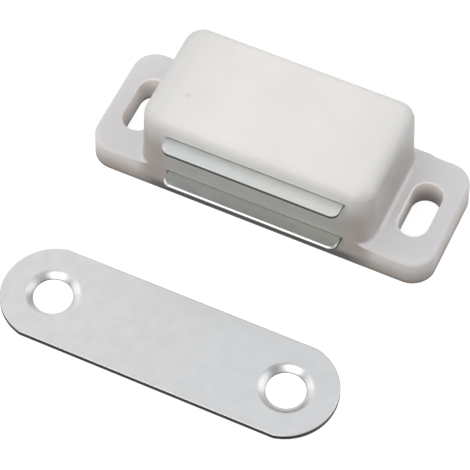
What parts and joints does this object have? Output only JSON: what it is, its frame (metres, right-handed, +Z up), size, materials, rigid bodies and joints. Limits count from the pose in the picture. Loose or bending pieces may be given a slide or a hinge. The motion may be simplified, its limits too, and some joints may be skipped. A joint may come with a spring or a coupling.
{
  "type": "magnetic cupboard catch",
  "caption": "Magnetic cupboard catch: moulded housing with slotted ears, magnet between steel pole plates whose lips stand out of the mouth, and a flat strike plate with dished screw holes.",
  "frame": {"origin": "middle of the mounting face under the housing; the strike plate lies on the same plane", "axes": "+X along the catch from ear to ear, -Y out of the mouth towards the strike plate, +Z up from the mounting face"},
  "size_m": [0.0572, 0.0521, 0.0168],
  "materials": {
    "housing_plastic": "satin moulded surface, off-white",
    "pole_steel": "zinc-plated sheet, satin, sheared edges",
    "ferrite": "dark grey ground ferrite, matt",
    "strike_steel": "zinc-plated sheet, satin, dark sheared edges"
  },
  "bodies": {
    "catch": {"housing": "housing_plastic"},
    "pole_unit": {"lower_pole_plate": "pole_steel", "magnet": "ferrite", "upper_pole_plate": "pole_steel"},
    "strike": {"strike_plate": "strike_steel"}
  },
  "joints": [
    {"name": "pole_unit_float", "type": "slide", "parent": "catch", "child": "pole_unit", "axis": [0, 1, 0], "range_m": [0, 0.0008]},
    {"name": "strike_pull_away", "type": "slide", "parent": "catch", "child": "strike", "axis": [0, -1, 0], "range_m": [0, 0.03]}
  ]
}
